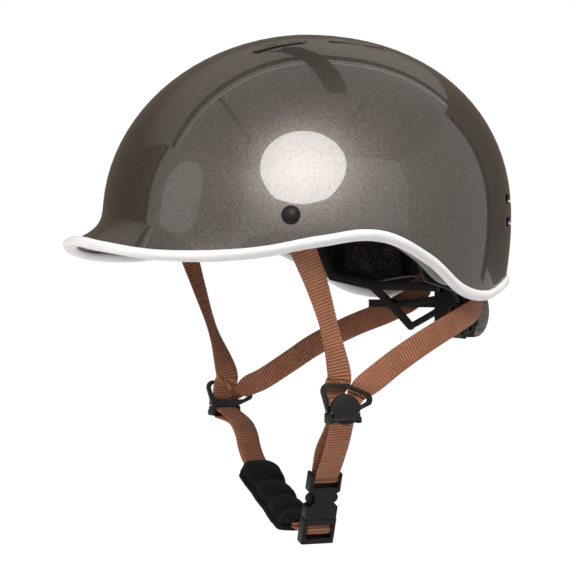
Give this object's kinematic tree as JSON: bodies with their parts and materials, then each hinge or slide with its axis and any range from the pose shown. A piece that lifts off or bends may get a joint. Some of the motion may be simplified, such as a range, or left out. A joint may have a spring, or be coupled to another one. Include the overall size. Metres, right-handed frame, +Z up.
{
  "type": "bicycle helmet",
  "caption": "Urban bicycle helmet with a hard shell, short visor, edge trim, foam liner, dial-fit cradle and webbing harness with a side-release buckle.",
  "frame": {"origin": "centre of the head opening, on the mid-plane at the dome's widest level", "axes": "+Z up towards the crown, -Y towards the visor, +X to the wearer's left, where the buckle is"},
  "size_m": [0.2078, 0.285, 0.3098],
  "materials": {
    "shell_paint": "metallic flake under a clear gloss coat",
    "trim_plastic": "satin off-white",
    "wrap_plastic": "satin grey-brown",
    "foam": "moulded bead foam, black",
    "black_plastic": "moulded, semi-matt",
    "knob_plastic": "moulded, glossy dark grey",
    "gear_plastic": "moulded, natural",
    "steel": "plain",
    "pad_fabric": "brushed knit over foam",
    "hook_tape": "hook tape",
    "webbing": "ribbed tan-brown webbing"
  },
  "bodies": {
    "helmet": {"outer_shell": "shell_paint", "edge_trim": "trim_plastic", "lower_wrap": "wrap_plastic", "foam_liner": "foam", "rivet_left": "black_plastic", "rivet_right": "black_plastic", "rivet_washer_left": "steel", "rivet_washer_right": "steel", "brow_pad": "pad_fabric", "side_pad_left": "pad_fabric", "side_pad_right": "pad_fabric", "crown_pad": "pad_fabric", "rear_pad": "pad_fabric", "hook_discs": "hook_tape", "front_strap_left": "webbing", "front_strap_right": "webbing", "rear_strap_left": "webbing", "rear_strap_right": "webbing", "strap_anchor_left": "black_plastic", "strap_anchor_right": "black_plastic", "divider_left": "black_plastic", "divider_right": "black_plastic", "lower_strap_left": "webbing", "buckle_housing": "black_plastic", "temple_pin_left": "black_plastic", "temple_pin_right": "black_plastic"},
    "cradle": {"cradle_frame": "black_plastic", "dial_housing": "black_plastic", "housing_screws": "steel", "detent_ring": "steel"},
    "dial": {"dial_pinion": "gear_plastic", "dial_knob": "knob_plastic", "dial_screw": "steel"},
    "belt_l": {"belt_left": "black_plastic"},
    "belt_r": {"belt_right": "black_plastic"},
    "cam_l": {"divider_cam_left": "black_plastic"},
    "cam_r": {"divider_cam_right": "black_plastic"},
    "chin": {"chin_strap": "webbing", "chin_pad": "pad_fabric", "buckle_tongue": "black_plastic"},
    "prong_f": {"prong_front": "black_plastic"},
    "prong_r": {"prong_rear": "black_plastic"}
  },
  "joints": [
    {"name": "cradle_tilt", "type": "hinge", "parent": "helmet", "child": "cradle", "pos_m": [0, 0.03, 0.002], "axis": [1, 0, 0], "range_deg": [-8, 1]},
    {"name": "dial_turn", "type": "hinge", "parent": "cradle", "child": "dial", "pos_m": [0, 0.102, -0.06], "axis": [0, 1, 0], "range_deg": [-80, 80]},
    {"name": "belt_left_slide", "type": "hinge", "parent": "cradle", "child": "belt_l", "pos_m": [0, 0.03, -0.06], "axis": [0, 0, 1], "range_deg": [-6.6, 6.6]},
    {"name": "belt_right_slide", "type": "hinge", "parent": "cradle", "child": "belt_r", "pos_m": [0, 0.03, -0.06], "axis": [0, 0, 1], "range_deg": [-6.6, 6.6]},
    {"name": "cam_left_open", "type": "hinge", "parent": "helmet", "child": "cam_l", "pos_m": [0.0981, -0.02, -0.1197], "axis": [0, 1, 0], "range_deg": [0, 75]},
    {"name": "cam_right_open", "type": "hinge", "parent": "helmet", "child": "cam_r", "pos_m": [-0.0981, -0.02, -0.1277], "axis": [0, -1, 0], "range_deg": [0, 75]},
    {"name": "chin_swing", "type": "hinge", "parent": "helmet", "child": "chin", "pos_m": [-0.0917, -0.02, -0.128], "axis": [0, 1, 0], "range_deg": [0, 75], "deforming": ["prong_front", "prong_rear"]},
    {"name": "prong_front_squeeze", "type": "hinge", "parent": "chin", "child": "prong_f", "pos_m": [0.05533, -0.024, -0.18097], "axis": [-0.9419, 0, 0.3359], "range_deg": [0, 9], "stiffness_Nm_per_rad": 0.02},
    {"name": "prong_rear_squeeze", "type": "hinge", "parent": "chin", "child": "prong_r", "pos_m": [0.05533, -0.012, -0.18097], "axis": [0.9419, 0, -0.3359], "range_deg": [0, 9], "stiffness_Nm_per_rad": 0.02}
  ],
  "couplings": [
    {"joint": "belt_left_slide", "follows": "dial_turn", "ratio": -0.080917},
    {"joint": "belt_right_slide", "follows": "dial_turn", "ratio": 0.078999},
    {"joint": "prong_rear_squeeze", "follows": "prong_front_squeeze", "ratio": 1}
  ]
}
